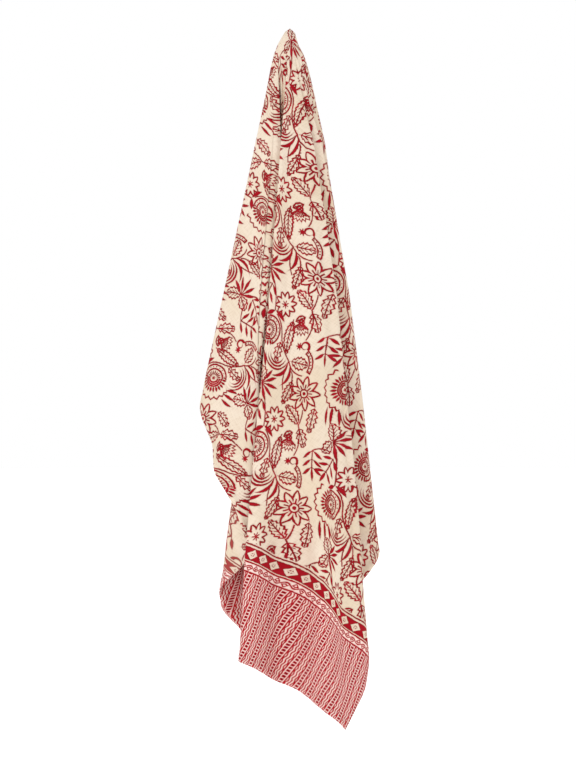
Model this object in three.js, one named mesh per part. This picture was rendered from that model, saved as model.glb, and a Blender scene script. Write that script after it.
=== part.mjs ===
// A cotton tablecloth hung up by one point near its middle, in millimetres with +Z up.
// The held point is the origin. Every thread line that starts there hangs straight down and a
// little outwards, so the cloth is a fluted cone whose hem is the cut rectangle.
import * as THREE from "three";

// The flat cloth: distances from the held point to its four hems.
const CUT = { left: 440, right: 710, lower: 905, upper: 695 };
const THICKNESS = 1;
const HEM = { width: 9, thickness: 2 };
const COLUMNS = { front: 3, back: 2 }; // mesh columns between one fold line and the next
const LEAST_DROP_SHARE = 0.55; // a thread line never runs flatter than this

// How far down each thread line the cross rows of the mesh lie, as a share of its length.
const ROWS = [0.014, 0.04, 0.08, 0.13, 0.19, 0.27, 0.36, 0.47, 0.59, 0.71, 0.82, 0.92];

// The folds in front, seen from above and going round with theta, the direction of the thread
// line in the flat cloth (0 towards the lower hem, 90 towards the right one). x is to the
// right and y to the back, in thousandths of the distance from the held point.
const FRONT_FOLDS = [
  { theta: -44, x: -236, y: -14 }, // outer fold of the left layer
  { theta: -38.5, x: -174, y: -76 },
  { theta: -31.5, x: -105, y: -110 }, // inner fold of the left layer
  { theta: -27, x: -62, y: -52 },
  { theta: -18, x: -121, y: 22 }, // layer tucked behind the left one
  { theta: -5, x: -38, y: 30 },
  { theta: 0.5, x: -22, y: -56 }, // two pleats hidden behind the front panel
  { theta: 6, x: 4, y: 26 },
  { theta: 11.5, x: 28, y: -60 },
  { theta: 16.5, x: 56, y: 12 },
  { theta: 21, x: 80, y: -74 },
  { theta: 24.5, x: -8, y: -88 },
  { theta: 27.6, x: -74, y: -100 },
  { theta: 28.6, x: -86, y: -110 }, // left fold of the broad front panel
  { theta: 30, x: -66, y: -117 },
  { theta: 33, x: -10, y: -107 },
  { theta: 37.9, x: 86, y: -120 },
  { theta: 43.5, x: 152, y: -84 }, // right fold of the front panel
  { theta: 47.5, x: 112, y: -46 },
  { theta: 54, x: 194, y: -30 }, // right side
  { theta: 60, x: 102, y: 0 },
];

// The folds round the sides and back: each is a round loop that goes out to reach at its
// azimuth round the hub, and the valley after it, half way to the next, comes in to root.
const HUB = { x: -10, y: 60, depth: 0.84 }; // depth squeezes the circle of folds front to back
// A loop's shoulders stand to both sides of its crest: how far round, how far out as a share of
// its reach, and how much of the cloth up to the next loop each takes.
const LOOP = { halfAngle: 6.2, shoulder: 0.84, share: 0.2 };
const ROOT = { halfAngle: 3, theta: 1.6 }; // half of a valley's flat bottom, round and in theta
const BACK_END = 193; // azimuth at which the last valley meets the front folds
const BACK_FOLDS = [
  { theta: 72, azimuth: 4, reach: 200, root: 54 },
  { theta: 95, azimuth: 20, reach: 198, root: 32 },
  { theta: 117, azimuth: 36, reach: 206, root: 50 },
  { theta: 140, azimuth: 53, reach: 192, root: 28 },
  { theta: 162, azimuth: 70, reach: 202, root: 48 },
  { theta: 185, azimuth: 87, reach: 188, root: 26 },
  { theta: 208, azimuth: 105, reach: 206, root: 48 },
  { theta: 230, azimuth: 123, reach: 196, root: 30 },
  { theta: 252, azimuth: 141, reach: 212, root: 54 },
  { theta: 274, azimuth: 158, reach: 204, root: 44 },
  { theta: 296, azimuth: 175, reach: 214, root: 78 },
];

// Half widths and half depth of the bundle against the distance down a thread line, and how
// deep its folds are there: 0 is a plain round tip and 1 the full fold.
const SPREAD = [
  { at: 0, left: 0, right: 0, deep: 0, fold: 0 },
  { at: 12, left: 11, right: 9, deep: 8, fold: 0 },
  { at: 35, left: 23, right: 19, deep: 14, fold: 0.05 },
  { at: 75, left: 34, right: 32, deep: 23, fold: 0.15 },
  { at: 120, left: 42, right: 44, deep: 30, fold: 0.34 },
  { at: 200, left: 58, right: 62, deep: 42, fold: 0.63 },
  { at: 320, left: 82, right: 81, deep: 58, fold: 0.88 },
  { at: 450, left: 108, right: 97, deep: 71, fold: 1 },
  { at: 620, left: 144, right: 118, deep: 85, fold: 1 },
  { at: 860, left: 206, right: 144, deep: 104, fold: 1 },
  { at: 1200, left: 288, right: 176, deep: 128, fold: 1 },
];
const WIDEST = { left: 236, right: 194, deep: 150 }; // the same measures in the fold tables
const TIP = { turn: 236, across: 215, deep: 150 }; // the plain oval near the held point
const SIDES_MEET = 40; // over how much of the width the left scale gives way to the right one

const radians = THREE.MathUtils.degToRad;

// Every fold line once round the cloth, as x, y and theta.
function foldLines() {
  const lines = FRONT_FOLDS.map((f) => new THREE.Vector3(f.x, f.y, f.theta));
  const around = (azimuth, reach, theta) =>
    new THREE.Vector3(
      HUB.x + reach * Math.cos(radians(azimuth)),
      HUB.y + HUB.depth * reach * Math.sin(radians(azimuth)),
      theta,
    );
  const last = { theta: FRONT_FOLDS[0].theta + 360, azimuth: BACK_END };
  BACK_FOLDS.forEach((fold, i) => {
    const next = BACK_FOLDS[i + 1] ?? last;
    const swing = (next.theta - fold.theta) * LOOP.share;
    const shoulder = fold.reach * LOOP.shoulder;
    lines.push(around(fold.azimuth - LOOP.halfAngle, shoulder, fold.theta - swing));
    lines.push(around(fold.azimuth, fold.reach, fold.theta));
    lines.push(around(fold.azimuth + LOOP.halfAngle, shoulder, fold.theta + swing));
    const azimuth = (fold.azimuth + next.azimuth) / 2;
    const theta = (fold.theta + next.theta) / 2;
    lines.push(around(azimuth - ROOT.halfAngle, fold.root, theta - ROOT.theta));
    lines.push(around(azimuth + ROOT.halfAngle, fold.root, theta + ROOT.theta));
  });
  return lines;
}

// A smooth closed line through the folds: the section of the cloth one unit down.
function sectionColumns() {
  const lines = foldLines();
  const turned = (v, by) => new THREE.Vector3(v.x, v.y, v.z + by);
  const count = lines.length;
  const open = [
    turned(lines[count - 2], -360),
    turned(lines[count - 1], -360),
    ...lines,
    turned(lines[0], 360),
    turned(lines[1], 360),
  ];
  const columns = [];
  for (let i = 0; i < count; i++) {
    const near = open.slice(i + 1, i + 5);
    const curve = new THREE.CatmullRomCurve3(near, false, "centripetal");
    const steps = i < FRONT_FOLDS.length ? COLUMNS.front : COLUMNS.back;
    for (let k = 0; k < steps; k++) columns.push(curve.getPoint((1 + k / steps) / 3));
  }
  return columns;
}

// Moves the column nearest to each corner of the cloth on to it, so that the corner is sharp.
function keepCorners(columns) {
  const corners = [
    Math.atan2(CUT.right, CUT.lower),
    Math.atan2(CUT.right, -CUT.upper),
    Math.atan2(-CUT.left, -CUT.upper) + 2 * Math.PI,
    Math.atan2(-CUT.left, CUT.lower),
  ].map(THREE.MathUtils.radToDeg);
  for (const corner of corners) {
    const off = (column) => Math.abs(column.z - corner);
    columns.reduce((best, c) => (off(c) < off(best) ? c : best)).z = corner;
  }
}

// Distance from the held point to the hem.
function hemDistance(theta) {
  const across = Math.sin(theta);
  const along = Math.cos(theta);
  const toSide = (across > 0 ? CUT.right : CUT.left) / Math.abs(across);
  const toEnd = (along > 0 ? CUT.lower : CUT.upper) / Math.abs(along);
  return Math.min(toSide, toEnd);
}

// The row of SPREAD at a distance, between its neighbours.
function spreadAt(distance) {
  const i = Math.max(1, SPREAD.findIndex((row) => row.at >= distance));
  const [above, below] = [SPREAD[i - 1], SPREAD[i]];
  const share = (distance - above.at) / (below.at - above.at);
  const mix = (key) => THREE.MathUtils.lerp(above[key], below[key], share);
  return { left: mix("left"), right: mix("right"), deep: mix("deep"), fold: mix("fold") };
}

// Where a column's thread line is in plan: the fold table's place, scaled to the bundle's
// width there, and drawn towards a plain oval near the held point.
function planPoint(column, distance) {
  const spread = spreadAt(distance);
  const toRight = 0.5 + column.x / (2 * Math.hypot(column.x, SIDES_MEET));
  const left = spread.left / WIDEST.left;
  const right = spread.right / WIDEST.right;
  const turn = radians(TIP.turn + column.z);
  const x = THREE.MathUtils.lerp(TIP.across * Math.cos(turn), column.x, spread.fold);
  const y = THREE.MathUtils.lerp(TIP.deep * Math.sin(turn), column.y, spread.fold);
  const across = THREE.MathUtils.lerp(left, right, toRight);
  return new THREE.Vector2(across * x, (spread.deep / WIDEST.deep) * y);
}

// The middle of the sheet as rows of points, each thread line as long as it is in the cloth.
function middleRows() {
  const columns = sectionColumns();
  keepCorners(columns);
  const rows = Array.from({ length: ROWS.length + 2 }, () => []);
  for (const column of columns) {
    const whole = hemDistance(radians(column.z));
    const stops = [...ROWS.map((share) => share * whole), whole - HEM.width, whole];
    let before = new THREE.Vector2();
    let [distance, z] = [0, 0];
    stops.forEach((stop, i) => {
      const plan = planPoint(column, stop);
      const step = stop - distance;
      const aside = plan.distanceTo(before);
      z -= Math.sqrt(Math.max(step ** 2 - aside ** 2, (LEAST_DROP_SHARE * step) ** 2));
      rows[i].push(new THREE.Vector3(plan.x, plan.y, z));
      [before, distance] = [plan, stop];
    });
  }
  return rows;
}

// A closed sheet round the middle rows: an outer and an inner face, joined along the hem.
function sheetGeometry(rows) {
  const count = rows[0].length;
  const at = (i, j) => 1 + i * count + (j % count);
  const faces = [];
  for (let j = 0; j < count; j++) faces.push([0, at(0, j), at(0, j + 1)]);
  for (let i = 0; i + 1 < rows.length; i++)
    for (let j = 0; j < count; j++) {
      faces.push([at(i, j), at(i + 1, j), at(i + 1, j + 1)]);
      faces.push([at(i, j), at(i + 1, j + 1), at(i, j + 1)]);
    }
  const middle = new THREE.BufferGeometry().setFromPoints([new THREE.Vector3(), ...rows.flat()]);
  middle.setIndex(faces.flat());
  middle.computeVertexNormals();

  const { position, normal } = middle.attributes;
  const face = (side) =>
    Array.from({ length: position.count }, (_, k) => {
      const row = Math.floor((k - 1) / count);
      const thick = row === rows.length - 1 ? HEM.thickness : THICKNESS;
      const point = new THREE.Vector3().fromBufferAttribute(position, k);
      const out = new THREE.Vector3().fromBufferAttribute(normal, k);
      return point.addScaledVector(out, (side * thick) / 2);
    });
  const inner = position.count;
  const index = faces.flatMap(([a, b, c]) => [a, b, c, inner + a, inner + c, inner + b]);
  for (let j = 0; j < count; j++) {
    const [a, b] = [at(rows.length - 1, j), at(rows.length - 1, j + 1)];
    index.push(a, inner + a, inner + b, a, inner + b, b);
  }
  const sheet = new THREE.BufferGeometry().setFromPoints([...face(1), ...face(-1)]);
  sheet.setIndex(index);
  sheet.computeVertexNormals();
  return sheet;
}

const cotton = new THREE.MeshStandardMaterial({
  color: 0xe6c8b4,
  roughness: 0.92,
  metalness: 0,
  side: THREE.DoubleSide,
});

const tablecloth = new THREE.Mesh(sheetGeometry(middleRows()), cotton);
tablecloth.name = "tablecloth";

const part = new THREE.Group();
part.add(tablecloth);

export default part;
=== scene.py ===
import math

import bpy
import numpy as np
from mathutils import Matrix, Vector


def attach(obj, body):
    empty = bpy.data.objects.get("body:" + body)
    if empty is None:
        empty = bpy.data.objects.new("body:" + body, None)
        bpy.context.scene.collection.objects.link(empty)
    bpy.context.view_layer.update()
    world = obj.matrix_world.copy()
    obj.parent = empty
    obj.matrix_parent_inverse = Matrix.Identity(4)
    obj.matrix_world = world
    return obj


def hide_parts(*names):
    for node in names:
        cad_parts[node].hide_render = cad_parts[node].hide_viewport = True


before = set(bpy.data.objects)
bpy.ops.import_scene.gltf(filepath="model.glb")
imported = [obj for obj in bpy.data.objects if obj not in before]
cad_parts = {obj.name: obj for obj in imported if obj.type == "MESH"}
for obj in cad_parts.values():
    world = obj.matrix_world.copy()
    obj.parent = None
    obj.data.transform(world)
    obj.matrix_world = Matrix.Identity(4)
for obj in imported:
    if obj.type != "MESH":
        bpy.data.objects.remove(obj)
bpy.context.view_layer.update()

# ---------------------------------------------------------------- sizes of the cloth, in metres
# The flat cloth: distances from the held point to its four hems.
CUT = {"left": 0.440, "right": 0.710, "lower": 0.905, "upper": 0.695}
THICKNESS = 0.0007
HEM = {"width": 0.009, "thickness": 0.0020, "step": 0.0009, "round": 0.0012}
COLUMNS = {"front": 12, "back": 4}  # columns of the mesh from one fold line to the next
ROW_COUNT = 86
ROW_CROWDING = 1.12  # above 1 the rows stand closer near the held point
LEAST_DROP_SHARE = 0.55  # a row falls at least this share of its step down the thread line

# The folds in front, seen from above and going round with theta, the direction of the thread
# line in the flat cloth (0 towards the lower hem, 90 towards the right one). x is to the
# right and y to the back, as shares of the distance from the held point.
FRONT_FOLDS = [
    # theta, x, y
    (-44.0, -0.236, -0.014),  # outer fold of the left layer
    (-38.5, -0.174, -0.076),
    (-33.5, -0.110, -0.098),
    (-30.5, -0.079, -0.095),  # inner fold of the left layer
    (-28.0, -0.118, -0.056),
    (-25.9, -0.088, -0.026),
    (-19.0, -0.121, 0.022),  # layer tucked behind the left one
    (-5.0, -0.038, 0.030),
    (0.5, -0.022, -0.008),  # two pleats hidden behind the front panel
    (6.0, 0.004, 0.030),
    (11.5, 0.030, -0.024),
    (16.5, 0.056, 0.012),
    (21.0, 0.080, -0.074),
    (24.0, -0.016, -0.036),
    (26.2, -0.074, -0.040),  # layer tucked behind the panel
    (27.6, -0.060, -0.084),
    (28.6, -0.083, -0.112),  # left fold of the broad front panel
    (29.6, -0.067, -0.120),
    (31.3, -0.040, -0.110),
    (33.0, -0.008, -0.100),  # trough down the panel
    (34.4, 0.022, -0.104),
    (36.2, 0.060, -0.118),
    (38.1, 0.099, -0.116),
    (43.5, 0.152, -0.084),  # right fold of the front panel
    (47.5, 0.112, -0.046),
    (54.0, 0.194, -0.030),  # right side
    (60.0, 0.102, 0.000),
]

# The folds round the sides and back: each is a round loop out to its reach at its azimuth
# round the hub, and the valley after it, half way to the next, comes in to its root.
HUB = {"x": -0.010, "y": 0.060, "depth": 0.84}
LOOP = {"half_angle": 6.2, "shoulder": 0.84, "share": 0.2}
ROOT = {"half_angle": 3.0, "theta": 1.6}
BACK_END = 193.0
BACK_FOLDS = [
    # theta, azimuth, reach, root
    (72, 4, 0.200, 0.054),
    (95, 20, 0.198, 0.032),
    (117, 36, 0.206, 0.050),
    (140, 53, 0.192, 0.028),
    (162, 70, 0.202, 0.048),
    (185, 87, 0.188, 0.026),
    (208, 105, 0.206, 0.048),
    (230, 123, 0.196, 0.030),
    (252, 141, 0.212, 0.054),
    (274, 158, 0.204, 0.044),
    (296, 175, 0.214, 0.078),
]

# Half widths and half depth of the bundle against the distance down a thread line, and how
# deep its folds are there: 0 is a plain round tip and 1 the full fold.
SPREAD = [
    # at, left, right, deep, fold
    (0.000, 0.000, 0.000, 0.000, 0.00),
    (0.010, 0.009, 0.007, 0.008, 0.00),
    (0.032, 0.021, 0.013, 0.014, 0.10),
    (0.050, 0.028, 0.022, 0.018, 0.18),
    (0.075, 0.034, 0.030, 0.023, 0.28),
    (0.120, 0.042, 0.043, 0.030, 0.48),
    (0.200, 0.058, 0.063, 0.042, 0.72),
    (0.320, 0.082, 0.081, 0.058, 0.88),
    (0.450, 0.108, 0.097, 0.071, 1.00),
    (0.620, 0.144, 0.118, 0.085, 1.00),
    (0.860, 0.206, 0.144, 0.104, 1.00),
    (1.200, 0.288, 0.176, 0.128, 1.00),
]
# The half widths and half depth of the bundle that the folds above are drawn for, and of
# the plain round tip. Between its left and right width the bundle changes over SIDES_MEET.
WIDEST = {"left": 0.236, "right": 0.194, "deep": 0.150}
TIP = {"turn": 236.0, "across": 0.215, "deep": 0.150}
SIDES_MEET = 0.040

# Soft troughs (rise below 0) and ridges in the cloth, each along a line from one theta and
# distance to another. At half to the side the rise has mostly gone.
CREASE_END = 0.25  # share of its length over which a crease comes in, and goes out
CREASES = [
    # theta, distance, theta, distance, half, rise
    (41.0, 0.31, 39.9, 0.60, 0.011, -0.0050),
    (42.0, 0.54, 41.6, 0.95, 0.010, -0.0050),
    (42.9, 0.62, 42.8, 0.92, 0.006, 0.0040),
    (33.4, 0.74, 33.2, 1.20, 0.032, -0.0260),
    (39.4, 0.88, 39.8, 1.06, 0.016, -0.0040),
]

# How far the cloth is lifted by its own stiffness at the hem, against theta.
LIFT = [
    # theta, lift
    (27.0, 0.000),
    (28.6, -0.008),
    (30.5, 0.000),
    (33.0, 0.004),
    (36.0, 0.006),
    (38.1, 0.002),
    (42.0, 0.004),
    (46.0, 0.000),
]
LIFT_AT = {"none": 0.50, "full": 0.95}  # distances from the held point

# The folds do not hang quite straight. Each of these tables says how far they stand aside
# against theta, none of it at one distance from the held point and all of it at the other.
SHIFTS = [
    {
        # the top, where the left layer runs on under the panel
        "none": 0.46,
        "full": 0.10,
        "rows": [
            # theta, to the right, to the back
            (-33.5, 0.000, 0.000),
            (-30.5, 0.030, -0.006),
            (-28.0, 0.070, -0.014),
            (-25.9, 0.020, -0.020),
            (-22.0, 0.000, 0.000),
        ],
    },
    {
        # the upper part
        "none": 0.66,
        "full": 0.46,
        "rows": [
            (-36.0, 0.000, 0.000),
            (-33.5, -0.004, 0.000),
            (-30.5, -0.026, -0.003),
            (-28.0, 0.056, -0.038),
            (-24.0, 0.010, 0.000),
            (-19.0, 0.000, 0.000),
            (21.0, 0.000, 0.000),
            (24.0, 0.014, 0.000),
            (26.2, 0.030, 0.000),
            (27.6, 0.012, 0.000),
            (28.6, 0.009, 0.000),
            (29.6, 0.005, 0.000),
            (31.3, 0.004, 0.000),
            (33.0, 0.000, 0.000),
        ],
    },
    {
        # the lower end
        "none": 0.85,
        "full": 1.02,
        "rows": [
            (-30.5, 0.000, 0.000),
            (-28.0, -0.004, 0.000),
            (-27.0, -0.008, 0.000),
            (-25.9, 0.016, 0.000),
            (-22.0, 0.010, 0.000),
            (-16.0, 0.000, 0.000),
            (21.0, 0.000, 0.000),
            (26.2, 0.010, 0.002),
            (27.6, 0.006, 0.000),
            (28.6, 0.004, 0.000),
            (31.3, 0.003, 0.000),
            (33.0, 0.000, 0.000),
            (38.1, 0.000, 0.000),
            (40.5, 0.010, 0.000),
            (43.5, 0.000, 0.000),
        ],
    },
    {
        # the left side, towards its hem
        "none": 0.58,
        "full": 0.74,
        "rows": [
            (-44.0, 0.012, 0.000),
            (-39.0, 0.000, 0.000),
            (-36.2, -0.020, 0.000),
            (-33.5, 0.000, 0.000),
            (300.0, 0.000, 0.000),
            (316.0, 0.012, 0.000),
        ],
    },
]

# Near the held point the threads are turned on the bias by this much.
TWIST = {"turn": math.radians(9), "from": 0.16, "to": 0.46}

# The threads also slip on the bias across the panel: how many degrees further round they
# are in the field and in the border than at the hem, against theta.
SLIP = [
    # theta, field, border
    (-44.0, -4.0, -6.5),
    (-25.0, -4.0, -6.5),
    (-5.0, 0.0, 0.0),
    (27.0, 0.0, 0.0),
    (28.6, 0.0, 1.3),
    (33.0, 0.8, 0.9),
    (36.6, 2.0, 0.5),
    (38.5, 2.4, 2.1),
    (40.4, 1.5, 1.4),
    (43.5, 0.0, -0.6),
    (46.0, 0.0, 0.0),
    (276.0, 0.0, 0.0),
    (316.0, -4.0, -6.5),
]
SLIP_AT = {"field": 0.55, "border": 0.73, "hem": 0.90}


# ---------------------------------------------------------------- the hanging shape
def folds_around():
    """Every fold line once round the cloth, as x, y and theta."""
    lines = [(x, y, theta) for theta, x, y in FRONT_FOLDS]

    def around(azimuth, reach, theta):
        turn = math.radians(azimuth)
        x = HUB["x"] + reach * math.cos(turn)
        lines.append((x, HUB["y"] + HUB["depth"] * reach * math.sin(turn), theta))

    ends = BACK_FOLDS[1:] + [(FRONT_FOLDS[0][0] + 360, BACK_END, 0, 0)]
    for (theta, azimuth, reach, root), after in zip(BACK_FOLDS, ends):
        swing = (after[0] - theta) * LOOP["share"]
        shoulder = reach * LOOP["shoulder"]
        around(azimuth - LOOP["half_angle"], shoulder, theta - swing)
        around(azimuth, reach, theta)
        around(azimuth + LOOP["half_angle"], shoulder, theta + swing)
        middle, low = (azimuth + after[1]) / 2, (theta + after[0]) / 2
        around(middle - ROOT["half_angle"], root, low - ROOT["theta"])
        around(middle + ROOT["half_angle"], root, low + ROOT["theta"])
    return [np.array(line) for line in lines]


PLAN_WEIGHT = 1000.0  # a thousandth in plan weighs as much as a step of one degree in theta


def smooth_between(p0, p1, p2, p3, shares):
    """Points on a smooth curve from p1 to p2 that also heads for p0 and p3."""
    weigh = np.array([PLAN_WEIGHT, PLAN_WEIGHT, 1.0])
    first, second, third = (
        math.sqrt(np.linalg.norm((b - a) * weigh)) for a, b in ((p0, p1), (p1, p2), (p2, p3))
    )
    out = (p1 - p0) / first - (p2 - p0) / (first + second) + (p2 - p1) / second
    into = (p2 - p1) / second - (p3 - p1) / (second + third) + (p3 - p2) / third
    out, into = out * second, into * second
    t = np.asarray(shares)[:, None]
    bend = -3 * p1 + 3 * p2 - 2 * out - into
    twist = 2 * p1 - 2 * p2 + out + into
    return p1 + out * t + bend * t**2 + twist * t**3


def section_columns():
    """Columns of the mesh, as x, y and theta, closely spaced along the folds."""
    lines = folds_around()
    turn = np.array([0, 0, 360.0])
    count = len(lines)
    around = [lines[-1] - turn, *lines, lines[0] + turn, lines[1] + turn]
    columns = []
    for i in range(count):
        steps = COLUMNS["front" if i < len(FRONT_FOLDS) else "back"]
        columns.append(smooth_between(*around[i : i + 4], np.arange(steps) / steps))
    columns = np.concatenate(columns)
    for across, along in (
        (CUT["right"], CUT["lower"]),
        (CUT["right"], -CUT["upper"]),
        (-CUT["left"], -CUT["upper"]),
        (-CUT["left"], CUT["lower"]),
    ):
        corner = math.degrees(math.atan2(across, along))
        corner += 360 if corner < FRONT_FOLDS[0][0] else 0
        columns[np.argmin(abs(columns[:, 2] - corner)), 2] = corner
    return columns


def hem_distance(theta):
    """Distance from the held point to the hem, and the sine at which it is met."""
    across, along = np.sin(theta), np.cos(theta)
    to_side = np.where(across > 0, CUT["right"], CUT["left"]) / np.maximum(abs(across), 1e-9)
    to_end = np.where(along > 0, CUT["lower"], CUT["upper"]) / np.maximum(abs(along), 1e-9)
    return np.minimum(to_side, to_end), np.where(to_side < to_end, abs(across), abs(along))


def spread_at(distance):
    table = np.array(SPREAD).T
    return [np.interp(distance, table[0], row) for row in table[1:]]


def lerp(a, b, share):
    return a + (b - a) * share


def plan_point(column, distance):
    """Where each column's thread line is in plan at that distance."""
    x, y, theta = column.T
    left, right, deep, fold = spread_at(distance)
    to_right = 0.5 + x / (2 * np.hypot(x, SIDES_MEET))
    turn = np.radians(TIP["turn"] + theta)
    across = lerp(left / WIDEST["left"], right / WIDEST["right"], to_right)
    for shift in SHIFTS:
        share = smooth_step(shift["none"], shift["full"], distance)
        table_theta, aside, back = np.array(shift["rows"]).T
        x = x + share * np.interp(theta, table_theta, aside)
        y = y + share * np.interp(theta, table_theta, back)
    px = across * lerp(TIP["across"] * np.cos(turn), x, fold)
    py = deep / WIDEST["deep"] * lerp(TIP["deep"] * np.sin(turn), y, fold)
    return np.stack([px, py], axis=-1)


def cloth_rows():
    """Middle of the sheet: points, the distance of each and theta of each column."""
    columns = section_columns()
    theta = np.radians(columns[:, 2])
    whole, met = hem_distance(theta)
    shares = (np.arange(1, ROW_COUNT + 1) / ROW_COUNT) ** ROW_CROWDING
    inner = whole - (HEM["width"] + HEM["step"]) / met
    stops = [share * inner for share in shares]
    stops += [whole - HEM["width"] / met, whole - HEM["width"] / 2 / met]
    stops += [whole - HEM["round"] / met, whole]
    before, distance, z = np.zeros((len(columns), 2)), 0.0, 0.0
    lift = np.interp(columns[:, 2], *np.array(LIFT).T)
    rows = []
    for stop in stops:
        plan = plan_point(columns, stop)
        step = stop - distance
        aside = np.linalg.norm(plan - before, axis=1)
        z = z - np.sqrt(np.maximum(step**2 - aside**2, (LEAST_DROP_SHARE * step) ** 2))
        lifted = z + lift * smooth_step(LIFT_AT["none"], LIFT_AT["full"], stop)
        rows.append(np.column_stack([plan, lifted]))
        before, distance = plan, stop
    return np.array(rows), np.array(stops), theta


def grid_normals(rows):
    """Outward normals of a grid that closes round its columns."""
    along = np.gradient(rows, axis=0)
    around = np.roll(rows, -1, axis=1) - np.roll(rows, 1, axis=1)
    normal = np.cross(along, around)
    return normal / np.maximum(np.linalg.norm(normal, axis=2, keepdims=True), 1e-12)


def smooth_step(low, high, value):
    share = np.clip((value - low) / (high - low), 0, 1)
    return share * share * (3 - 2 * share)


def crease_rise(distances, theta):
    """How far the creases lift the cloth at each point."""
    lift = np.zeros_like(distances)
    degrees = np.degrees(theta)[None, :]
    for theta0, r0, theta1, r1, half, rise in CREASES:
        share = np.clip((distances - r0) / (r1 - r0), 0, 1)
        aside = np.radians(degrees - lerp(theta0, theta1, share)) * distances
        ends = smooth_step(0, CREASE_END, share) * smooth_step(1, 1 - CREASE_END, share)
        lift += rise * np.exp(-((aside / half) ** 2)) * ends
    return lift


def flat_places(distances, theta):
    """Where each point is in the flat cloth, once the threads have turned and slipped."""
    turned = theta + TWIST["turn"] * (1 - smooth_step(TWIST["from"], TWIST["to"], distances))
    along = distances * np.cos(theta)
    table_theta, *slips = np.radians(np.array(SLIP).T)
    field, border = (np.interp(theta, table_theta, slip) for slip in slips)
    slip = lerp(field, border, smooth_step(SLIP_AT["field"], SLIP_AT["border"], along))
    turned += slip * (1 - smooth_step(SLIP_AT["border"], SLIP_AT["hem"], along))
    return np.stack([distances * np.sin(turned), distances * np.cos(turned)], axis=-1)


def sheet_faces(row_count, column_count):
    """Faces of a closed sheet: a fan round the tip and a grid on each side, and the rim."""

    def at(i, j):
        return 1 + i * column_count + j % column_count

    columns = range(column_count)
    last, base = row_count - 1, 1 + row_count * column_count
    faces = [(0, at(0, j), at(0, j + 1)) for j in columns]
    for i in range(last):
        faces += [(at(i, j), at(i + 1, j), at(i + 1, j + 1), at(i, j + 1)) for j in columns]
    back = [tuple(base + v for v in reversed(face)) for face in faces]
    edges = [(at(last, j), at(last, j + 1)) for j in columns]
    rim = [(near, base + near, base + far, far) for near, far in edges]
    return faces + back + rim


def tablecloth_mesh():
    """The cloth as one closed sheet, thicker in the hem, with its flat places as a UV map."""
    rows, distances, theta = cloth_rows()
    rows = rows + grid_normals(rows) * crease_rise(distances, theta)[:, :, None]
    thick = np.full(len(rows), THICKNESS)
    thick[-4:-1] = HEM["thickness"]
    thick[-1] = HEM["thickness"] / 3
    half = grid_normals(rows) * thick[:, None, None] / 2
    tip = np.array([[0, 0, THICKNESS / 2]])
    outer = np.concatenate([tip, (rows + half).reshape(-1, 3)])
    inner = np.concatenate([-tip, (rows - half).reshape(-1, 3)])
    mesh = bpy.data.meshes.new("tablecloth")
    faces = sheet_faces(len(rows), len(theta))
    mesh.from_pydata(np.concatenate([outer, inner]).tolist(), [], faces)
    mesh.update()
    mesh.shade_smooth()

    flat = np.concatenate([[[0, 0]], flat_places(distances, theta).reshape(-1, 2)])
    vertex = np.zeros(len(mesh.loops), dtype=np.int32)
    mesh.loops.foreach_get("vertex_index", vertex)
    uv = mesh.uv_layers.new(name="cloth")
    uv.data.foreach_set("uv", np.concatenate([flat, flat])[vertex].astype(np.float32).ravel())
    reverse = mesh.attributes.new("reverse", "FLOAT", "POINT")
    sides = np.repeat([0, 1], len(outer)).astype(np.float32)
    reverse.data.foreach_set("value", sides)
    return mesh


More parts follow.
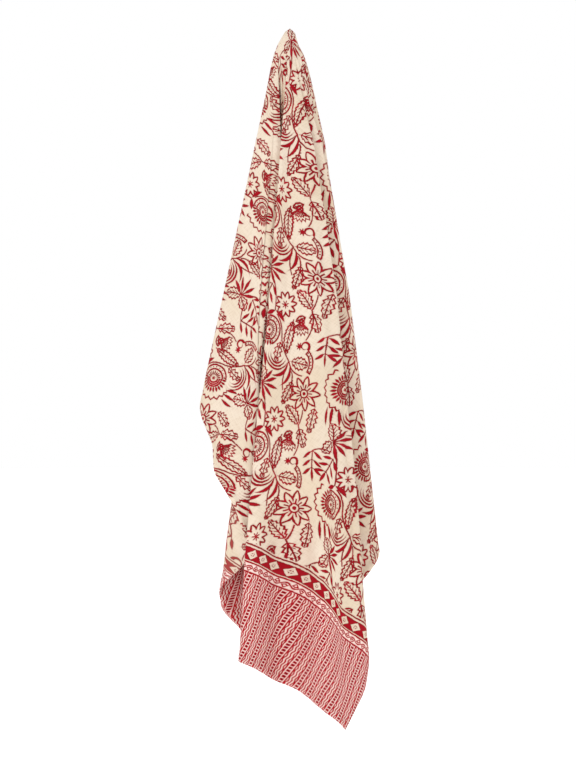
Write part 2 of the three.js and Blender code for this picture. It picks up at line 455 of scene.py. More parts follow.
# ---------------------------------------------------------------- wiring of shader nodes
class Wiring:
    """Adds nodes to a tree and joins them: a value is a number or another node's socket."""

    def __init__(self, tree):
        self.tree = tree

    def join(self, value, socket):
        if isinstance(value, bpy.types.NodeSocket):
            self.tree.links.new(value, socket)
        elif value is not None:
            socket.default_value = value

    def node(self, kind, *values, **settings):
        made = self.tree.nodes.new(kind)
        for name, value in settings.items():
            setattr(made, name, value)
        for socket, value in zip(made.inputs, values):
            self.join(value, socket)
        return made

    def named(self, kind, entries, **settings):
        """The outputs of a new node that takes its values by name."""
        made = self.node(kind, **settings)
        for name, value in entries.items():
            self.join(value, made.inputs[name])
        return made.outputs

    def math(self, operation, *values):
        return self.node("ShaderNodeMath", *values, operation=operation).outputs[0]

    def plus(self, first, second):
        return self.math("ADD", first, second)

    def minus(self, first, second):
        return self.math("SUBTRACT", first, second)

    def times(self, first, second):
        return self.math("MULTIPLY", first, second)

    def over(self, first, second):
        return self.math("DIVIDE", first, second)

    def size(self, value):
        return self.math("ABSOLUTE", value)

    def apart(self, first, second):
        """How far two values are from each other."""
        return self.size(self.minus(first, second))

    def least(self, first, *others):
        for other in others:
            first = self.math("MINIMUM", first, other)
        return first

    def most(self, first, *others):
        for other in others:
            first = self.math("MAXIMUM", first, other)
        return first

    def clamp(self, value, low, high):
        return self.least(self.most(value, low), high)

    def share(self, value, low, high):
        """A smooth step of value from 0 at low to 1 at high."""
        entries = {"Value": value, "From Min": low, "From Max": high}
        return self.named("ShaderNodeMapRange", entries, interpolation_type="SMOOTHSTEP")["Result"]

    def mix(self, kind, share, first, second):
        entries = {"Factor": share, "A": first, "B": second}
        return self.named("ShaderNodeMix", entries, data_type=kind)["Result"]

    def choose(self, share, first, second):
        """The first value at share 0 and the second at 1."""
        return self.mix("FLOAT", share, first, second)

    def blend(self, share, first, second):
        """The first colour at share 0 and the second at 1."""
        return self.mix("RGBA", share, first, second)

    def noise(self, place, scale, detail):
        entries = {"Vector": place, "Scale": scale, "Detail": detail}
        return self.named("ShaderNodeTexNoise", entries)

    def vector(self, operation, *values):
        made = self.node("ShaderNodeVectorMath", *values, operation=operation)
        return made.outputs["Value" if operation == "LENGTH" else "Vector"]

    def split(self, vector):
        return self.node("ShaderNodeSeparateXYZ", vector).outputs

    def turn(self, vector, angle):
        """A vector turned round z."""
        entries = {"Vector": vector, "Angle": angle}
        return self.named("ShaderNodeVectorRotate", entries, rotation_type="Z_AXIS")[0]

    def use(self, group, *values):
        made = self.tree.nodes.new("ShaderNodeGroup")
        made.node_tree = group
        for socket, value in zip(made.inputs, values):
            self.join(value, socket)
        return made.outputs[0]


SOCKETS = {"vector": "NodeSocketVector", "value": "NodeSocketFloat"}


def shader_group(name, takes, gives):
    """The wiring of a new node group and its input sockets; gives is its one output."""
    group = bpy.data.node_groups.new(name, "ShaderNodeTree")
    for socket, kind in takes:
        group.interface.new_socket(socket, in_out="INPUT", socket_type=SOCKETS[kind])
    group.interface.new_socket(gives[0], in_out="OUTPUT", socket_type=SOCKETS[gives[1]])
    entry = group.nodes.new("NodeGroupInput")
    return Wiring(group), list(entry.outputs)[: len(takes)]


def close_group(wires, result):
    """The finished group, which puts out the result."""
    wires.join(result, wires.tree.nodes.new("NodeGroupOutput").inputs[0])
    return wires.tree


# ---------------------------------------------------------------- the block print, in metres
# Every shape of the print puts out how far a point lies outside its ink, below 0 in the ink.
MM = 0.001
REPEAT = {"across": 178 * MM, "down": 170 * MM}
LINE = 1.55 * MM  # half the width of a drawn line


def repeat_group():
    """A point of the cloth seen from the nearest copy of a place in the repeat."""
    w, (point, centre, turn) = shader_group(
        "print repeat",
        [("Cloth", "vector"), ("Centre", "vector"), ("Turn", "value")],
        ("Local", "vector"),
    )
    x, y, _ = w.split(w.vector("SUBTRACT", point, centre))
    row = w.math("SNAP", w.plus(y, REPEAT["down"] / 2), REPEAT["down"])
    y = w.minus(y, row)
    x = w.math("MULTIPLY_ADD", row, -REPEAT["across"] / 2 / REPEAT["down"], x)
    x = w.math("WRAP", x, REPEAT["across"] / 2, -REPEAT["across"] / 2)
    local = w.node("ShaderNodeCombineXYZ", x, y, 0.0).outputs[0]
    return close_group(w, w.turn(local, w.times(turn, -1.0)))


def arch(w, share):
    """0 at share 0 and 1, 1 half way and below 0 outside them."""
    return w.times(w.times(share, 4.0), w.minus(1.0, share))


def swell(w, along, start, length):
    """An arch over a length that begins at start."""
    return arch(w, w.over(w.minus(along, start), length))


def zigzag(w, value):
    """A wave between 0 and 1 with a crest at each half number."""
    return w.times(w.math("PINGPONG", value, 0.5), 2.0)


def shape_group(name, *sizes):
    """The wiring of a group for a shape at its own place, with its sizes."""
    takes = [("Local", "vector")] + [(size, "value") for size in sizes]
    return shader_group(name, takes, ("Outside", "value"))


LEAF_SIZES = ("Length", "Half", "Bend")


def bent(w, local, length, bend):
    """Along x, how full a leaf is there, and how far off its bent middle line."""
    x, y, _ = w.split(local)
    full = arch(w, w.over(x, length))
    return x, full, w.apart(y, w.times(bend, full))


def past_ends(w, x, length):
    """How far x lies outside 0 to length."""
    middle = w.times(length, 0.5)
    return w.minus(w.apart(x, middle), middle)


def solid_leaf_group():
    """A leaf along x, pointed at both ends and bent aside in the middle."""
    w, (local, length, half, bend) = shape_group("solid leaf", *LEAF_SIZES)
    _, full, off = bent(w, local, length, bend)
    return close_group(w, w.minus(off, w.times(half, full)))


def stem_group():
    """A line of even width along x, bent aside in the middle."""
    w, (local, length, half, bend) = shape_group("stem", *LEAF_SIZES)
    x, _, off = bent(w, local, length, bend)
    return close_group(w, w.most(w.minus(off, half), past_ends(w, x, length)))


TOOTH_RISE = 0.7  # share of a tooth's length that slopes up, before its steep side
VEIN = {"lean": 1.1, "half": 0.9 * MM, "reach": 0.55}
OUTLINE_FROM = -0.25  # how full the leaf is where its outline starts: a little past its ends
RIB = {"half": 1.1 * MM, "from": 0.2}


def toothed_leaf_group():
    """A leaf in outline with saw teeth, a rib and slanting veins on both sides of it."""
    w, (local, length, half, bend, teeth, depth) = shape_group(
        "toothed leaf", *LEAF_SIZES, "Teeth", "Depth"
    )
    x, full, off = bent(w, local, length, bend)
    width = w.times(half, full)
    step = w.math("FRACT", w.times(w.over(x, length), teeth))
    rise = w.over(step, TOOTH_RISE)
    fall = w.over(w.minus(1.0, step), 1 - TOOTH_RISE)
    edge = w.math("MULTIPLY_ADD", w.minus(w.least(rise, fall), 0.5), depth, width)
    outline = w.minus(w.apart(off, edge), LINE)
    outline = w.most(outline, w.times(w.minus(OUTLINE_FROM, full), half))
    slant = w.math("MULTIPLY_ADD", off, -VEIN["lean"], x)
    pitch = w.over(length, teeth)
    veins = w.math("PINGPONG", slant, w.times(pitch, 0.5))
    veins = w.minus(veins, VEIN["half"])
    veins = w.most(veins, w.math("MULTIPLY_ADD", width, -VEIN["reach"], off))
    rib = w.most(w.minus(off, RIB["half"]), w.times(w.minus(RIB["from"], full), half))
    return close_group(w, w.least(outline, veins, rib))


def polar(w, local):
    """Distance from the middle, and angle from x."""
    x, y, _ = w.split(local)
    return w.vector("LENGTH", local), w.math("ARCTAN2", y, x)


def fold_sector(w, radius, angle, count):
    """The point moved into one sector of count: along the sector's middle, and off it."""
    sector = w.over(math.tau, count)
    half = w.times(sector, 0.5)
    folded = w.size(w.math("WRAP", angle, half, w.times(half, -1.0)))
    along = w.times(radius, w.math("COSINE", folded))
    return along, w.times(radius, w.math("SINE", folded))


def line_round(w, radius, at, half=LINE):
    """A circle drawn as a line."""
    return w.minus(w.apart(radius, at), half)


EYE = {"line": 1.25 * MM, "pupil": 0.42, "tick": 2.2}  # pupil and tick as shares of its ring
TICK_TAPER = 0.03


def flower_group():
    """Pointed petals in outline, cut off near the middle, each with a tick above a ringed eye."""
    w, (local, petals, size, half, inner, ring) = shape_group(
        "flower", "Petals", "Radius", "Half", "Inner", "Ring"
    )
    radius, angle = polar(w, local)
    along, off = fold_sector(w, radius, angle, petals)
    full = arch(w, w.over(along, size))
    petal = w.apart(off, w.times(half, full))
    petal = w.most(w.minus(petal, LINE), w.minus(along, size))
    tick = w.math("MULTIPLY_ADD", along, TICK_TAPER, w.minus(off, LINE))
    tick = w.most(tick, w.math("MULTIPLY_ADD", ring, -EYE["tick"], along))
    petal = w.most(w.least(petal, tick), w.minus(inner, radius))
    pupil = w.minus(radius, w.times(ring, EYE["pupil"]))
    return close_group(w, w.least(petal, line_round(w, radius, ring, EYE["line"]), pupil))


def lobes_round(w, radius, angle, count, mean, swing):
    """A solid round shape with rounded lobes."""
    wave = w.math("COSINE", w.times(angle, count))
    return w.minus(radius, w.math("MULTIPLY_ADD", wave, swing, mean))


def burst_group():
    """A small solid star with rounded points."""
    w, (local, points, mean, swing) = shape_group("burst", "Points", "Mean", "Swing")
    return close_group(w, lobes_round(w, *polar(w, local), points, mean, swing))


FAN = {"shorter": 0.09, "foot": 0.22, "stalk": 0.4, "stalk_half": 1.0 * MM}


def fan_group():
    """Solid leaves spread like fingers, the middle one along x and the outer ones shorter."""
    w, (local, length, half, count, spread) = shape_group(
        "leaf fan", "Length", "Half", "Count", "Spread"
    )
    radius, angle = polar(w, local)
    last = w.times(w.minus(count, 1.0), 0.5)
    finger = w.math("ROUND", w.over(angle, spread))
    finger = w.clamp(finger, w.times(last, -1.0), last)
    off = w.minus(angle, w.times(finger, spread))
    along = w.times(radius, w.math("COSINE", off))
    aside = w.size(w.times(radius, w.math("SINE", off)))
    uneven = w.math("MULTIPLY_ADD", w.size(finger), -FAN["shorter"], 1.0)
    share = w.over(along, w.times(length, uneven))
    full = arch(w, w.math("MULTIPLY_ADD", share, 1 + FAN["foot"], -FAN["foot"]))
    leaf = w.minus(aside, w.times(half, full))
    stalk = w.minus(aside, FAN["stalk_half"])
    past = w.math("MULTIPLY_ADD", length, -FAN["stalk"], along)
    stalk = w.most(stalk, past, w.times(along, -1.0))
    return close_group(w, w.least(leaf, stalk))


FROND = {"slant": math.radians(58), "foot": 0.15, "stalk": 1.8 * MM, "stem": 1.2 * MM, "tip": 0.62}


def frond_group():
    """A stem along x with three pairs of solid leaves that slant forwards, and one at its tip."""
    slant = FROND["slant"]
    w, (local, length, leaf, half, pitch) = shape_group("frond", "Length", "Leaf", "Half", "Pitch")
    x, y, _ = w.split(local)
    off = w.size(y)
    start = w.math("MULTIPLY_ADD", off, -1 / math.tan(slant), x)
    pair = w.clamp(w.math("ROUND", w.over(start, pitch)), 0.0, 2.0)
    aside = w.minus(start, w.times(pair, pitch))
    aside = w.times(aside, math.sin(slant))
    along = w.over(off, w.times(leaf, math.sin(slant)))
    full = arch(w, w.math("MULTIPLY_ADD", along, 1 + FROND["foot"], -FROND["foot"]))
    full = w.times(half, full)
    stalk = w.times(w.minus(0.5, along), FROND["stalk"])
    leaves = w.minus(w.size(aside), w.most(full, stalk))
    stem = w.most(past_ends(w, x, length), w.minus(off, FROND["stem"]))
    tip = swell(w, x, w.times(length, FROND["tip"]), leaf)
    tip = w.minus(off, w.times(tip, half))
    return close_group(w, w.least(leaves, stem, tip))


def arcs_group():
    """Three nested arcs that taper to both ends, their middle along x."""
    middle_half = 1.7 * MM
    w, (local, size, gap, reach) = shape_group("nested arcs", "Radius", "Gap", "Reach")
    radius, angle = polar(w, local)
    step = w.over(w.minus(radius, size), gap)
    step = w.clamp(w.math("ROUND", step), 0.0, 2.0)
    at = w.math("MULTIPLY_ADD", step, gap, size)
    turned = w.over(angle, reach)
    taper = w.minus(1.0, w.times(turned, turned))
    width = w.times(taper, middle_half)
    return close_group(w, line_round(w, radius, at, width))


def crescent_group():
    """A curved strip in outline with a row of spots down it, its middle along x."""
    line, spot, half_pitch = 1.25 * MM, 1.5 * MM, 2.6 * MM
    w, (local, size, half, reach) = shape_group("crescent", "Radius", "Half", "Reach")
    radius, angle = polar(w, local)
    off = w.apart(radius, size)
    past = w.times(w.minus(w.size(angle), reach), size)
    outside = w.most(w.minus(off, half), past)
    outline = w.minus(w.size(outside), line)
    spots = w.math("PINGPONG", w.times(angle, size), half_pitch)
    spots = w.minus(w.plus(spots, off), spot)
    return close_group(w, w.least(outline, w.most(spots, past)))


def curl_group():
    """A hook of one turn that opens out and swells from its tip to its root."""
    tip_at, opens, tip_half, swells = 0.7, 0.45, 0.2 * MM, 2.4 * MM
    w, (local, size) = shape_group("curl", "Radius")
    radius, angle = polar(w, local)
    turned = w.math("MULTIPLY_ADD", angle, 1 / math.tau, 0.5)
    at = w.times(size, w.math("MULTIPLY_ADD", turned, opens, tip_at))
    width = w.math("MULTIPLY_ADD", turned, swells, tip_half)
    return close_group(w, line_round(w, radius, at, width))


def within(w, angle, reach, outside, radius):
    """Keeps a shape to the angles within reach of x."""
    past = w.minus(w.size(angle), reach)
    return w.most(outside, w.times(past, radius))


def rays_round(w, radius, angle, count, start, length, half):
    """Narrow leaves that stand out from the middle all round."""
    along, off = fold_sector(w, radius, angle, count)
    return w.minus(off, w.times(swell(w, along, start, length), half))


def teeth_round(w, radius, angle, teeth, mean, depth):
    """A toothed circle drawn as a line, with so many teeth in a radian."""
    wave = zigzag(w, w.times(angle, teeth))
    return line_round(w, radius, w.math("MULTIPLY_ADD", wave, depth, mean))


CARNATION = {
    "reach": math.radians(52),  # to each side of x
    "edges": ((3.4, 17 * MM, 5 * MM), (3.4, 11 * MM, 3 * MM)),  # teeth, radius and their depth
    "rays": (26.0, 4 * MM, 9 * MM, 0.9 * MM),  # leaves, their start, length and half width
    "side": 18 * MM,
    "knob": 2.4 * MM,
    "cup": 4.6 * MM,
}


def carnation_group():
    """A flower seen from the side: two toothed edges that open along x from a round cup."""
    reach = CARNATION["reach"]
    w, (local,) = shape_group("carnation")
    radius, angle = polar(w, local)
    edges = [teeth_round(w, radius, angle, *edge) for edge in CARNATION["edges"]]
    sides = w.minus(w.times(w.apart(w.size(angle), reach), radius), LINE)
    sides = w.most(sides, w.minus(radius, CARNATION["side"]))
    rays = rays_round(w, radius, angle, *CARNATION["rays"])
    heads = within(w, angle, reach, w.least(*edges, rays), radius)
    knob = w.minus(radius, CARNATION["knob"])
    return close_group(w, w.least(heads, sides, knob, line_round(w, radius, CARNATION["cup"])))


ROSETTE = {
    "eye": (7.0, 2.9 * MM, 1.1 * MM),  # lobes, its radius and their swing
    "rings": (8 * MM, 11.5 * MM, 15 * MM),
    "fringe": (24.0, 16 * MM, 10 * MM, 2.1 * MM),  # leaves, their start, length and half width
    "frill": (3.2, 34 * MM, 4.5 * MM),  # teeth in a radian, its radius and their depth
    "rays": (20.0, 5 * MM, 9 * MM, 1.1 * MM),
    "dots": (20.3 * MM, 0.8 * MM),  # radius of their row, and of each
    "dot_rings": (16.5 * MM, 24 * MM),
}
ROSETTE_REACH = {"rings": 95, "fringe": 105, "frill": 68, "far": 86}  # degrees to each side


def rosette_group():
    """A round flower half wrapped by a fringe and a jagged frill, both centred on x."""
    reach = {part: math.radians(angle) for part, angle in ROSETTE_REACH.items()}
    w, (local,) = shape_group("rosette")
    radius, angle = polar(w, local)
    eye = lobes_round(w, radius, angle, *ROSETTE["eye"])

    # The near side: rings, then the fringe and the frill.
    rings = w.least(*(line_round(w, radius, at) for at in ROSETTE["rings"]))
    rings = within(w, angle, reach["rings"], rings, radius)
    fringe = rays_round(w, radius, angle, *ROSETTE["fringe"])
    fringe = within(w, angle, reach["fringe"], fringe, radius)
    frill = teeth_round(w, radius, angle, *ROSETTE["frill"])
    frill = within(w, angle, reach["frill"], frill, radius)

    # The far side: rays, then a row of dots between two rings, each dot in line with a ray.
    rays = rays_round(w, radius, angle, *ROSETTE["rays"])
    _, off = fold_sector(w, radius, angle, ROSETTE["rays"][0])
    row, dot = ROSETTE["dots"]
    dots = w.minus(w.most(off, w.apart(radius, row)), dot)
    bounds = [line_round(w, radius, at) for at in ROSETTE["dot_rings"]]
    away = w.minus(math.pi, w.size(angle))
    far = within(w, away, reach["far"], w.least(rays, dots, *bounds), radius)
    return close_group(w, w.least(eye, rings, fringe, frill, far))


# The chart of one repeat in millimetres, across and down the cloth from a big flower. Leaves
# and stems go from foot to tip, half as wide as half, and bend aside half way.
SOLID_LEAVES = [
    # across, down, across, down, half, bend
    (51, -82, 37, -67, 3.8, 0.0),
    (52, -83, 79, -77, 3.6, -1.5),
    (-52, -27, -47, 15, 2.8, -8.0),
    (-73, 11, -55, -26, 3.0, 9.0),
    (49, -8, 64, 20, 2.7, 1.5),
    (57, -13, 74, 15, 2.7, 0.0),
    (66, -14, 85, 7, 2.7, -1.5),
]
STEMS = [
    # across, down, across, down, half, bend
    (5, -138, 51, -82, 1.2, -5.0),
    (58, -79, 88, -54, 1.2, -4.0),
    (88, -54, 124, -28, 1.2, 3.0),
    (-56, -29, -20, -22, 1.2, 6.0),
    (-42, -18, -31, -1, 1.1, -2.0),
    (21, 50, 14, 24, 1.1, 1.0),
    (21, 50, 41, 96, 1.1, -6.0),
    (-55, -28, -38, 18, 1.1, 5.0),
    (10, -120, -20, -101, 1.1, 4.0),
]
TOOTHED_LEAVES = [
    # across, down, across, down, half, bend, teeth, depth
    (19, 49, -19, 35, 9.0, 2.0, 6, 2.6),
    (-31, -5, -26, 38, 7.0, -1.0, 6, 2.8),
    (31, 8, 46, 50, 8.0, 0.0, 5, 3.8),
    (24, 53, 51, 75, 8.0, -1.0, 4, 3.8),
    (-87, -46, -77, -12, 6.5, 1.0, 4, 4.2),
    (-51, -31, -20, -42, 9.5, 0.0, 5, 2.6),
    (-86, -88, -66, -36, 8.0, 2.0, 8, 1.8),
    (18, 65, 7, 80, 5.0, 0.0, 3, 0.5),
    (-85, 31, -105, 9, 10.0, 2.0, 5, 2.6),
    (-86, 33, -93, 60, 9.0, -1.0, 4, 2.2),
]
MARKS = [
    # shape, across, down, turn in degrees, and the sizes that its group takes
    ("flower", 0, 0, 10, 9, 30 * MM, 5.4 * MM, 8.0 * MM, 7.0 * MM),
    ("flower", -25, 67, 0, 10, 22 * MM, 4.2 * MM, 11.5 * MM, 0.0),
    ("burst", -25, 67, 0, 7, 4.6 * MM, 2.4 * MM),
    ("rosette", 58, -48, 141),
    ("carnation", -72, -94, 66),
    ("curl", -43, -65, 200, 7.0 * MM),
    ("crescent", -40, -33, -38, 27 * MM, 3.0 * MM, math.radians(38)),
    ("burst", -52, -60, 0, 7, 4.8 * MM, 1.6 * MM),
    ("leaf fan", -84, 32, -15, 37 * MM, 2.9 * MM, 5, math.radians(29)),
    ("frond", -20, -101, 60, 46 * MM, 23 * MM, 2.7 * MM, 14 * MM),
    ("frond", 22, -116, 95, 46 * MM, 23 * MM, 2.7 * MM, 14 * MM),
    ("nested arcs", -82, -25, 74, 15 * MM, 5.2 * MM, math.radians(80)),
]
# The chart is drawn as it looks on the hanging cloth, where the bias pulls it narrower.
HANG = {"turn": math.radians(33.5), "across": 0.92, "down": 0.98}


def field_print(w, point):
    """How far a point of the cloth lies outside the ink of the flowered field."""
    place = repeat_group()
    shapes = {
        "flower": flower_group(),
        "burst": burst_group(),
        "leaf fan": fan_group(),
        "frond": frond_group(),
        "nested arcs": arcs_group(),
        "crescent": crescent_group(),
        "curl": curl_group(),
        "carnation": carnation_group(),
        "rosette": rosette_group(),
    }
    solid, stem, toothed = solid_leaf_group(), stem_group(), toothed_leaf_group()
    hanging = w.turn(point, HANG["turn"])
    hanging = w.vector("DIVIDE", hanging, (HANG["across"], HANG["down"], 1.0))
    point = w.turn(hanging, -HANG["turn"])

    def at(across, down, turn):
        return w.use(place, point, (across * MM, down * MM, 0), turn)

    found = []
    for shape, table in ((solid, SOLID_LEAVES), (stem, STEMS), (toothed, TOOTHED_LEAVES)):
        for across, down, tip_across, tip_down, half, bend, *teeth in table:
            run, fall = tip_across - across, tip_down - down
            local = at(across, down, math.atan2(fall, run))
            sizes = [math.hypot(run, fall) * MM, half * MM, bend * MM]
            if teeth:
                sizes += [teeth[0], teeth[1] * MM]
            found.append(w.use(shape, local, *sizes))
    for shape, across, down, turn, *sizes in MARKS:
        local = at(across, down, math.radians(turn))
        found.append(w.use(shapes[shape], local, *sizes))
    return w.least(*found)


# The border at each end in millimetres: where each band ends, as distances from the end hem.
BORDER = {"stripes": 134.0, "vine": 151.5, "diamonds": 173.0, "rule": 178.5}
BORDER_PITCH = 21.5  # from one dotted row, or one diamond, to the next
DOTS = {"half_width": 2.5, "half_length": 1.9, "half_pitch": 2.6}
DOT_RULE = {"at": 4.8, "half": 0.93}  # a plain line on both sides of each dotted row
WAVES = {"clear": 6.0, "first": 6.95, "half_pitch": 1.9, "half": 0.93, "swing": 0.8, "length": 11.0}
VINE = {"swing": 2.8, "half": 1.1}
VINE_RIM = {"at": 7.4, "half": 1.3}
VINE_RING = {"swing": 2.4, "lean": 0.8, "at": 2.6, "half": 1.05}
DIAMOND = {"half": 7.9, "lean": 0.92, "band_half": 9.4, "mark": 3.8, "mark_gap": 0.8}
END_RULE = {"at": 175.6, "half": 1.15}


def line_at(w, place, line):
    """A line at its distance, as far as the place lies outside it."""
    return w.minus(w.apart(place, line["at"]), line["half"])


def striped_end(w, along, edge):
    """Dotted rows between plain lines, and three wavy lines from one row to the next."""
    side = w.math("PINGPONG", along, BORDER_PITCH / 2)  # distance from the nearest dotted row
    dots = w.minus(w.math("PINGPONG", edge, DOTS["half_pitch"]), DOTS["half_length"])
    dots = w.most(dots, w.minus(side, DOTS["half_width"]))
    wave = w.math("SINE", w.times(edge, math.tau / WAVES["length"]))
    lane = w.math("MULTIPLY_ADD", wave, WAVES["swing"], along)
    lane = w.math("PINGPONG", lane, BORDER_PITCH / 2)
    wavy = w.math("PINGPONG", w.minus(lane, WAVES["first"]), WAVES["half_pitch"])
    wavy = w.minus(wavy, WAVES["half"])
    wavy = w.most(wavy, w.minus(WAVES["clear"], lane))
    return w.least(dots, line_at(w, side, DOT_RULE), wavy)


def vine_band(w, along, edge):
    """A scroll of a waving stem with rings in its bends, and a line along both sides."""
    off = w.minus(edge, (BORDER["stripes"] + BORDER["vine"]) / 2)
    swing = w.math("SINE", w.times(along, math.tau / BORDER_PITCH))
    stem = w.size(w.math("MULTIPLY_ADD", swing, VINE["swing"], off))
    stem = w.minus(stem, VINE["half"])
    lane = w.math("PINGPONG", w.plus(along, BORDER_PITCH / 4), BORDER_PITCH / 4)
    ring = w.size(w.math("MULTIPLY_ADD", swing, -VINE_RING["swing"], off))
    ring = line_at(w, w.math("MULTIPLY_ADD", lane, VINE_RING["lean"], ring), VINE_RING)
    return w.least(stem, ring, line_at(w, w.size(off), VINE_RIM))


def diamond_band(w, along, edge):
    """A solid band with cream diamonds left out of it, each with a small cross of four marks."""
    off = w.apart(edge, (BORDER["vine"] + BORDER["diamonds"]) / 2)
    lane = w.math("PINGPONG", w.plus(along, BORDER_PITCH / 2), BORDER_PITCH / 2)
    diamond = w.plus(off, w.times(lane, DIAMOND["lean"]))
    diamond = w.minus(DIAMOND["half"], diamond)
    band = w.minus(off, DIAMOND["band_half"])
    mark = w.minus(w.plus(off, lane), DIAMOND["mark"])
    mark = w.most(mark, w.minus(DIAMOND["mark_gap"], w.least(off, lane)))
    return w.least(w.most(band, diamond), mark)


# ---------------------------------------------------------------- the printed cotton
PRINT_START = (0.530, 0.492, 0.0)  # a big flower's place in the flat cloth
DRIFT = {"scale": 22.0, "by": 3.2 * MM}  # of the blocks, which are set down by hand
SHAKE = {"scale": 260.0, "by": 1.3 * MM}  # of their hand-cut edges
THREAD_PITCH = 0.55  # millimetres from one thread to the next
UNEVEN_THREADS = (480.0, 55.0, 0.0)  # thick and thin threads across and along, in each metre
GRAIN = {"from": 0.85, "to": 1.35, "strength": 0.5}  # of those threads' colour
SLUBS = (900.0, 45.0, 0.0)
PATCHES = {"scale": 9.0, "from": 0.35, "to": 0.7}  # of warmer cotton
WORN = {"scale": 55.0, "from": 0.45, "to": 0.75}  # where the ink has taken less
HALO = {"reach": 2.4, "strength": 0.18}  # dye that has crept out round the ink
IN_STRIPES = {"stained": 0.8, "bright": 0.8}
BROAD = {"from": 0.5, "to": 1.3}  # millimetres inside the ink where it turns from line to heart
DOT_HEART = {"from": 0.7, "to": 1.3}
SOFT_EDGE = 0.28  # millimetres to each side over which the ink ends
RAGGED_EDGE = 0.9  # millimetres it is uneven by
SLUB_HEIGHT = 1.5  # against the height of a thread
BUMP = {"Strength": 0.25, "Distance": 0.15 * MM}
REVERSE_LOSS = 0.10  # of the ink's strength
ROUGHNESS = {"cotton": 0.94, "less_in_ink": 0.06}
SURFACE = {"Specular IOR Level": 0.1, "Sheen Weight": 0.03, "Sheen Roughness": 0.6}
GROUND = {
    "light": (0.865, 0.735, 0.60, 1),
    "warm": (0.80, 0.66, 0.495, 1),
    "thread": (0.69, 0.535, 0.39, 1),
    "stained": (0.95, 0.76, 0.71, 1),  # by the dye, where the print is close
}
INK = {
    "line": (0.20, 0.003, 0.006, 1),
    "heart": (0.36, 0.003, 0.011, 1),  # well inside a broad shape
    "worn": (0.42, 0.010, 0.022, 1),
    "bright": (0.50, 0.003, 0.012, 1),  # the fine lines of the striped end
}


def wander(w, colour, by):
    """An offset in the flat cloth from a noise's colour."""
    return w.vector("MULTIPLY", w.vector("SUBTRACT", colour, (0.5, 0.5, 0.5)), (by, by, 0.0))


def ink_outside(w, point, edge, across):
    """How far a point of the cloth lies outside the ink of its band, in millimetres."""
    field = w.times(field_print(w, w.vector("SUBTRACT", point, PRINT_START)), 1 / MM)
    ink = striped_end(w, across, edge)
    for distance, band in (
        (BORDER["stripes"], vine_band(w, across, edge)),
        (BORDER["vine"], diamond_band(w, across, edge)),
        (BORDER["diamonds"], line_at(w, edge, END_RULE)),
        (BORDER["rule"], field),
    ):
        ink = w.choose(w.math("GREATER_THAN", edge, distance), ink, band)
    return ink


def patches(w, flat, kind):
    """A smooth noise over the cloth, as a share."""
    noise = w.noise(flat, kind["scale"], 3.0)["Fac"]
    return w.share(noise, kind["from"], kind["to"])


def ground_colour(w, flat, depth, in_stripes):
    """Cream cotton, uneven in patches and thread by thread, stained a little by the dye."""
    ground = w.blend(patches(w, flat, PATCHES), GROUND["light"], GROUND["warm"])
    across, along, _ = UNEVEN_THREADS
    runs = (UNEVEN_THREADS, (along, across, 0.0))  # those of the warp, and of the weft
    grain = [w.noise(w.vector("MULTIPLY", flat, run), 1.0, 1.0)["Fac"] for run in runs]
    grain = w.times(w.share(w.plus(*grain), GRAIN["from"], GRAIN["to"]), GRAIN["strength"])
    ground = w.blend(grain, ground, GROUND["thread"])
    stain = w.times(in_stripes, IN_STRIPES["stained"])
    ground = w.blend(stain, ground, GROUND["stained"])
    halo = w.times(w.share(depth, -HALO["reach"], 0.0), HALO["strength"])
    return w.blend(halo, ground, INK["heart"])


def ink_colour(w, flat, depth, in_stripes):
    """Red dye, darker at its edges and in lines, but in the striped end darker in the dots."""
    dye = w.blend(w.share(depth, BROAD["from"], BROAD["to"]), INK["line"], INK["heart"])
    dye = w.blend(patches(w, flat, WORN), dye, INK["worn"])
    bright = w.times(in_stripes, IN_STRIPES["bright"])
    dye = w.blend(bright, dye, INK["bright"])
    in_dots = w.times(in_stripes, w.share(depth, DOT_HEART["from"], DOT_HEART["to"]))
    return w.blend(in_dots, dye, INK["line"])


def plain_weave(w, flat, across, down):
    """Height of the threads, with slubs where one runs thick."""
    warp = w.math("SINE", w.times(across, math.tau / THREAD_PITCH))
    weft = w.math("SINE", w.times(down, math.tau / THREAD_PITCH))
    slub = w.noise(w.vector("MULTIPLY", flat, SLUBS), 1.0, 1.0)["Fac"]
    return w.plus(w.times(warp, weft), w.times(slub, SLUB_HEIGHT))


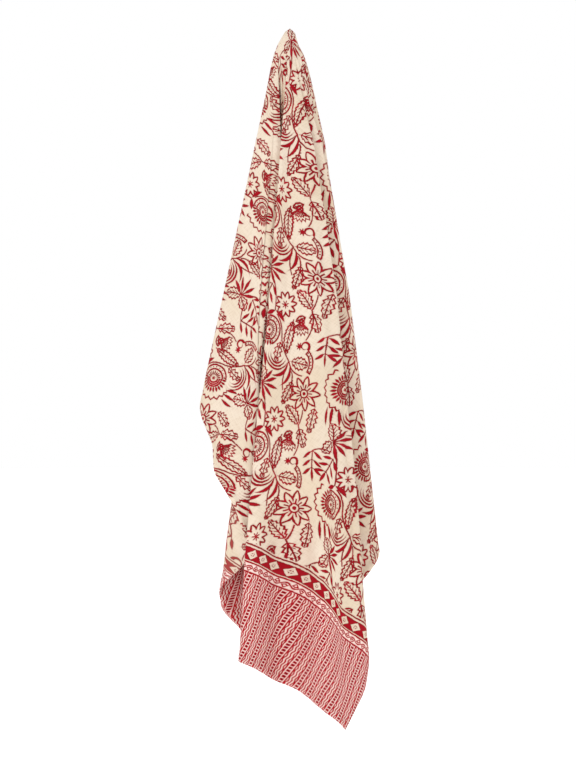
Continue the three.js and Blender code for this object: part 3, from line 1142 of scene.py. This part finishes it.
def printed_cotton():
    """The block print on plain weave, a little paler on the reverse."""
    material = bpy.data.materials.new("printed cotton")
    material.use_nodes = True
    w = Wiring(material.node_tree)
    shader = material.node_tree.nodes["Principled BSDF"].inputs
    flat = w.node("ShaderNodeUVMap", uv_map="cloth").outputs[0]
    reverse = w.node("ShaderNodeAttribute", attribute_name="reverse").outputs["Fac"]

    # The blocks are cut and set down by hand, so the print wanders a little.
    drift = w.noise(flat, DRIFT["scale"], 2.0)["Color"]
    tremble = w.noise(flat, SHAKE["scale"], 1.0)
    point = w.vector("ADD", flat, wander(w, drift, DRIFT["by"]))
    point = w.vector("ADD", point, wander(w, tremble["Color"], SHAKE["by"]))
    across, down, _ = w.split(w.vector("MULTIPLY", point, (1 / MM, 1 / MM, 0.0)))
    edge = w.least(w.minus(CUT["lower"] / MM, down), w.plus(down, CUT["upper"] / MM))
    ragged = w.times(w.minus(tremble["Fac"], 0.5), RAGGED_EDGE)
    depth = w.plus(ink_outside(w, point, edge, across), ragged)
    depth = w.times(depth, -1.0)
    printed = w.share(depth, -SOFT_EDGE, SOFT_EDGE)

    in_stripes = w.math("LESS_THAN", edge, BORDER["vine"])
    ground = ground_colour(w, flat, depth, in_stripes)
    dye = ink_colour(w, flat, depth, in_stripes)
    strength = w.times(printed, w.math("MULTIPLY_ADD", reverse, -REVERSE_LOSS, 1.0))
    w.join(w.blend(strength, ground, dye), shader["Base Color"])
    roughness = w.math("MULTIPLY_ADD", printed, -ROUGHNESS["less_in_ink"], ROUGHNESS["cotton"])
    w.join(roughness, shader["Roughness"])
    bump = w.named("ShaderNodeBump", {**BUMP, "Height": plain_weave(w, flat, across, down)})
    w.join(bump["Normal"], shader["Normal"])
    for name, value in SURFACE.items():
        shader[name].default_value = value
    return material


cloth = bpy.data.objects.new("cloth", tablecloth_mesh())
bpy.context.collection.objects.link(cloth)
cloth.data.materials.append(printed_cotton())
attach(cloth, "root")
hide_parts("tablecloth")

# ---------------------------------------------------------------- floor, light and camera
FLOOR = {"level": -1.30, "radius": 14}
SKY = {"light": 0.83, "seen": 1.0}  # strength as a light, and as the background
KEY = {"place": (-1.6, -2.2, 0.35), "width": 0.9, "watts": 9}
MIDDLE = (-0.003, -0.05, -0.5840)  # of the view
VIEW_HEIGHT = 1.244
WHITE = (1, 1, 1, 1)
FLOOR_SURFACE = {
    "Base Color": (0.9, 0.9, 0.9, 1),
    "Roughness": 1,
    "Emission Color": WHITE,
    "Emission Strength": 0.50,
}


def pale_floor():
    bpy.ops.object.select_all(action="DESELECT")
    bpy.ops.mesh.primitive_circle_add(
        vertices=96, radius=FLOOR["radius"], fill_type="NGON", location=(0, 0, FLOOR["level"])
    )
    floor = bpy.context.object
    floor.name = "floor"
    pale = bpy.data.materials.new("pale floor")
    pale.use_nodes = True
    shader = pale.node_tree.nodes["Principled BSDF"].inputs
    for name, value in FLOOR_SURFACE.items():
        shader[name].default_value = value
    floor.data.materials.append(pale)


def studio_sky():
    world = bpy.data.worlds.new("studio")
    bpy.context.scene.world = world
    world.use_nodes = True
    sky = world.node_tree.nodes["Background"]
    sky.inputs["Color"].default_value = WHITE
    w = Wiring(world.node_tree)
    seen = w.node("ShaderNodeLightPath").outputs["Is Camera Ray"]
    w.join(w.choose(seen, SKY["light"], SKY["seen"]), sky.inputs["Strength"])


def key_light():
    data = bpy.data.lights.new("key", "AREA")
    data.shape = "DISK"
    data.size = KEY["width"]
    data.energy = KEY["watts"]
    light = bpy.data.objects.new("key", data)
    light.location = KEY["place"]
    aim = Vector(MIDDLE) - Vector(KEY["place"])
    light.rotation_euler = aim.to_track_quat("-Z", "Y").to_euler()
    bpy.context.collection.objects.link(light)


def front_camera():
    data = bpy.data.cameras.new("camera")
    data.lens = 85
    data.sensor_fit = "VERTICAL"
    data.sensor_height = 32
    camera = bpy.data.objects.new("camera", data)
    reach = VIEW_HEIGHT * data.lens / data.sensor_height
    camera.location = (MIDDLE[0], MIDDLE[1] - reach, MIDDLE[2])
    camera.rotation_euler = (math.radians(90), 0, 0)
    bpy.context.collection.objects.link(camera)
    bpy.context.scene.camera = camera


pale_floor()
studio_sky()
key_light()
front_camera()
bpy.context.scene.view_settings.view_transform = "Standard"
